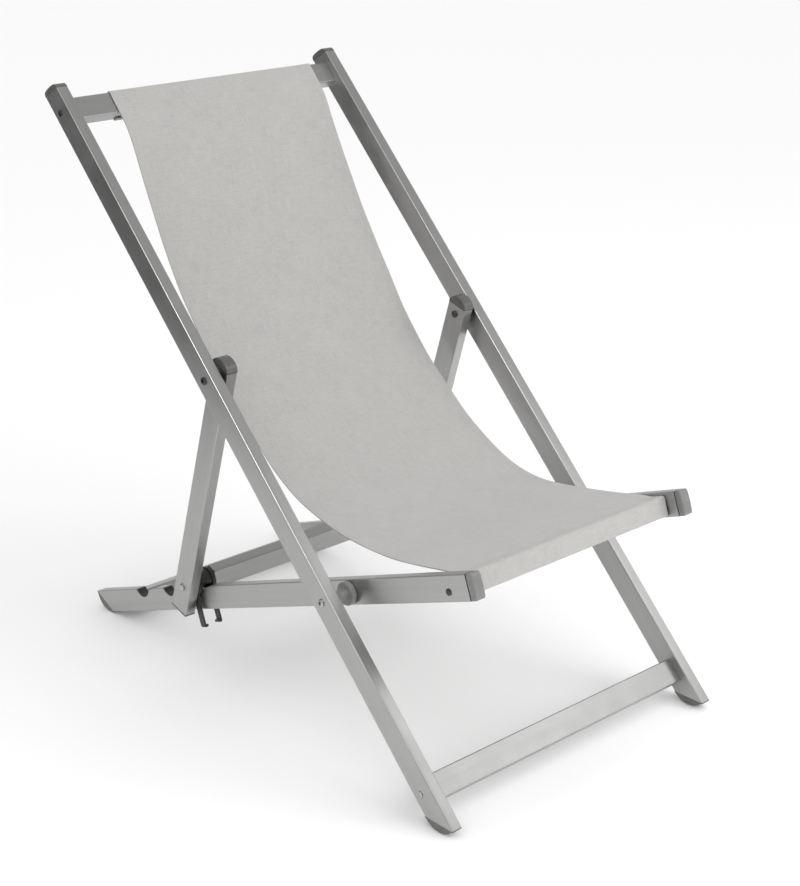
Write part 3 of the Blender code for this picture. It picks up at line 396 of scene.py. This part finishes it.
def build_sling():
    """The cloth as rows down its length and columns across it. A row's point is the mix of the
    two edge lines by (1 + u) / 2 for u from -1 to 1, and x is the drift towards the top plus u
    times half the width. Half the sheet's thickness is added on each side, and it is a little
    more in the doubled hem down each long edge, with a groove along the stitching."""
    (left, long_left), (right, long_right) = cloth_line(1), cloth_line(2)
    rows = len(left)
    inset = np.array([0, 0.5, 1.2, 3, 6, 9, HEM_WIDE - 1.2, HEM_WIDE - 0.4, HEM_WIDE + 0.4,
                      HEM_WIDE + 1.5, 18, 26])
    middle = np.linspace(36, 2 * SLING_HALF - 36, 40)
    u = np.concatenate([inset, middle, 2 * SLING_HALF - inset[::-1]]) / SLING_HALF - 1
    share = (1 + u)[None, :, None] / 2
    line = left[:, None] * (1 - share) + right[:, None] * share
    way = np.gradient(line, axis=0)
    way /= np.linalg.norm(way, axis=2, keepdims=True)
    out = np.stack([-way[..., 1], way[..., 0]], 2)
    high = (left[:, 1] - left[-1, 1]) / (left[:, 1].max() - left[-1, 1])
    drift = SLING_SHIFT * np.clip(high, 0, 1)
    run = np.concatenate([[0], np.cumsum(np.linalg.norm(np.diff(left, axis=0), axis=1))])
    # Free cloth gives a little between the bars: long shallow folds that fade at both bars.
    from_top = np.arange(rows) - (TOP_ROWS - 1)
    from_front = rows - FRONT_ROWS - np.arange(rows)
    free = np.clip(np.minimum(from_top, from_front) / FADE_ROWS, 0, 1)[:, None]
    free = free * free * (3 - 2 * free)
    edge_in = (1 - np.abs(u))[None] * SLING_HALF
    soft = (np.sin(run[:, None] * 21 + u[None] * 2.3) * 0.35
            + np.sin(run[:, None] * 47 - u[None] * 3.1) * 0.18)
    soft = soft * free + free * 0.9 * np.exp(-edge_in / 7) * np.sin(run[:, None] * 60 + 1.0) * 0.35
    hem = 1 - 1 / (1 + np.exp(-(edge_in - HEM_WIDE) / 0.35))
    half = CLOTH / 2 - HEM_UP / 2 + HEM_UP * hem
    half = half - STITCH_DIP * np.exp(-((edge_in - STITCH_IN) / STITCH_WIDE) ** 2)
    x = drift[:, None] + u[None] * SLING_HALF
    layers = []
    for sign in (1, -1):
        flat = line + out * ((soft + sign * half) * MM)[..., None]
        layers.append(np.concatenate([(x * MM)[..., None], flat], 2).reshape(-1, 3))
    columns = len(u)
    over = grid_faces(rows, columns)
    k = np.arange(rows * columns).reshape(rows, columns)
    rim = np.concatenate([k[0], k[1:-1, -1], k[-1, ::-1], k[1:-1, 0][::-1]])
    nxt, step = np.roll(rim, -1), rows * columns
    sides = np.stack([rim, rim + step, nxt + step, nxt], 1)
    faces = np.concatenate([over, over[:, ::-1] + step, sides])
    uv = np.stack([np.broadcast_to(u * SLING_HALF * MM, (rows, columns)),
                   np.broadcast_to(run[:, None], (rows, columns))], 2).reshape(-1, 2)
    made = add_mesh("sling_fabric", np.concatenate(layers), faces, np.concatenate([uv, uv]))
    return made, (long_left + long_right) / 2


sling, sling_long = build_sling()

cloth, n, shader, effect = finish_material(
    "sling_cloth", WEAVE, {"Colour": (0.364, 0.355, 0.345, 1), "Pitch": 1250.0}, (0.35, 0.00035), uv="cloth",
    Sheen_Weight=0.25, Sheen_Roughness=0.6, Specular_IOR_Level=0.25)
# Stitching runs down both side hems: short raised threads, STITCH_IN mm in from the edge, with painted shade
# in the needle holes between them.
part = n.add("SeparateXYZ", Vector=n.add("UVMap", {"uv_map": "cloth"}).outputs[0]).outputs
from_edge = n.math("SUBTRACT", SLING_HALF * MM, n.math("ABSOLUTE", part[0]))
beside = n.math("ABSOLUTE", n.math("SUBTRACT", from_edge, STITCH_IN * MM))
row = n.ramp(beside, 0.0003, 0.0008, 1.0, 0.0)
dash = n.ramp(n.math("SINE", n.math("MULTIPLY", part[1], 2 * math.pi / (STITCH_LONG * MM))), -0.6, 0.1)
stitch = n.math("MULTIPLY", row, dash)
# Painted shade in the needle holes between the stitches: the cloth is mixed towards a dark tone there.
painted_hole_shade = n.math("MULTIPLY", row, n.math("SUBTRACT", 1.0, dash))
colour = n.mix(n.math("MULTIPLY", stitch, 0.6), effect.outputs["Colour"], (0.44, 0.43, 0.42, 1))
colour = n.mix(n.math("MULTIPLY", painted_hole_shade, 0.35), colour, (0.16, 0.155, 0.15, 1))
n.give(shader.inputs["Base Color"], colour)
height = n.math("ADD", effect.outputs["Height"], n.math("MULTIPLY", stitch, 1.2))
bump = next(node for node in cloth.node_tree.nodes if node.type == "BUMP")
n.give(bump.inputs["Height"], height)
sling.data.materials.append(cloth)

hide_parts("sling")
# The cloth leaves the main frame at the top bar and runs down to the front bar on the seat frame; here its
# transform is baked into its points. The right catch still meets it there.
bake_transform(sling)

# ---------------------------------------------------------------- stage, light, camera
FLOOR_HALF, FLOOR_Z = 60.0, -0.0005
floor_corners = [(-FLOOR_HALF, -FLOOR_HALF, FLOOR_Z), (FLOOR_HALF, -FLOOR_HALF, FLOOR_Z),
                 (FLOOR_HALF, FLOOR_HALF, FLOOR_Z), (-FLOOR_HALF, FLOOR_HALF, FLOOR_Z)]
floor = add_mesh("floor", np.array(floor_corners), np.array([(0, 1, 2, 3)]))
floor_finish = bpy.data.materials.new("pale_floor")
floor_finish.use_nodes = True
floor_finish.node_tree.nodes["Principled BSDF"].inputs["Base Color"].default_value = (0.9, 0.9, 0.9, 1)
floor_finish.node_tree.nodes["Principled BSDF"].inputs["Roughness"].default_value = 0.9
floor.data.materials.append(floor_finish)

world = bpy.data.worlds.new("studio")
bpy.context.scene.world = world
world.use_nodes = True
n = Nodes(world.node_tree)
background = world.node_tree.nodes["Background"]
background.inputs["Color"].default_value = (1, 1, 1, 1)
# Polished metal sees a dimmer room than the one that lights the cloth, as between white screens.
glossy = n.add("LightPath").outputs["Is Glossy Ray"]
n.give(background.inputs["Strength"], n.ramp(glossy, 0.0, 1.0, 1.08, 0.60))


def lamp(name, where, aim, size, power, glossy):
    """A soft square lamp at where, turned to face aim. glossy says whether reflections see it."""
    light = bpy.data.lights.new(name, "AREA")
    light.shape, light.size, light.energy = "SQUARE", size, power
    made = bpy.data.objects.new(name, light)
    bpy.context.scene.collection.objects.link(made)
    back = np.array(where, float) - np.array(aim, float)
    back /= np.linalg.norm(back)
    made.location = where
    made.rotation_euler = (math.acos(back[2]), 0, math.atan2(back[0], -back[1]))
    made.visible_glossy, made.visible_camera = glossy, False
    return made


lamp("key", (0.9, -3.0, 1.5), (0, 0, 0.4), 2.0, 42, False)
lamp("soft_box", (1.4, -1.5, 1.6), (-0.1, -0.3, 0.2), 1.0, 6, True)
# A lamp at the near side that only shows along the tubes' rounded edges.
lamp("edge_light", (-1.95, -0.55, 1.9), (-0.2, 0, 0.45), 0.7, 26, True).visible_diffuse = False

# A dark screen on the ground and standing behind the chair's near side. Only reflections see it.
screen = add_mesh("dark_screen", np.array([
    (-2.9, -0.35, 0.01), (0.0, 2.25, 0.01), (-1.6, 4.1, 0.01), (-4.5, 1.5, 0.01),
    (-1.6, 4.1, 1.1), (-4.5, 1.5, 1.1)]), np.array([(0, 1, 2, 3), (3, 2, 4, 5)]))
screen_finish = bpy.data.materials.new("black_felt")
screen_finish.use_nodes = True
screen_finish.node_tree.nodes["Principled BSDF"].inputs["Base Color"].default_value = (0.12, 0.12, 0.12, 1)
screen_finish.node_tree.nodes["Principled BSDF"].inputs["Roughness"].default_value = 0.95
screen.data.materials.append(screen_finish)
screen.visible_camera = screen.visible_diffuse = screen.visible_shadow = False

camera = bpy.data.cameras.new("camera")
camera.lens, camera.sensor_width, camera.sensor_fit = 73.95, 36.0, "AUTO"
camera.clip_start, camera.clip_end = 0.05, 200.0
eye = bpy.data.objects.new("camera", camera)
bpy.context.scene.collection.objects.link(eye)
eye.location = (-1.818, -2.0679, 1.4319)
eye.rotation_euler = (math.radians(69.243), 0, math.radians(-42.226))
bpy.context.scene.camera = eye
bpy.context.scene.view_settings.view_transform = "Standard"
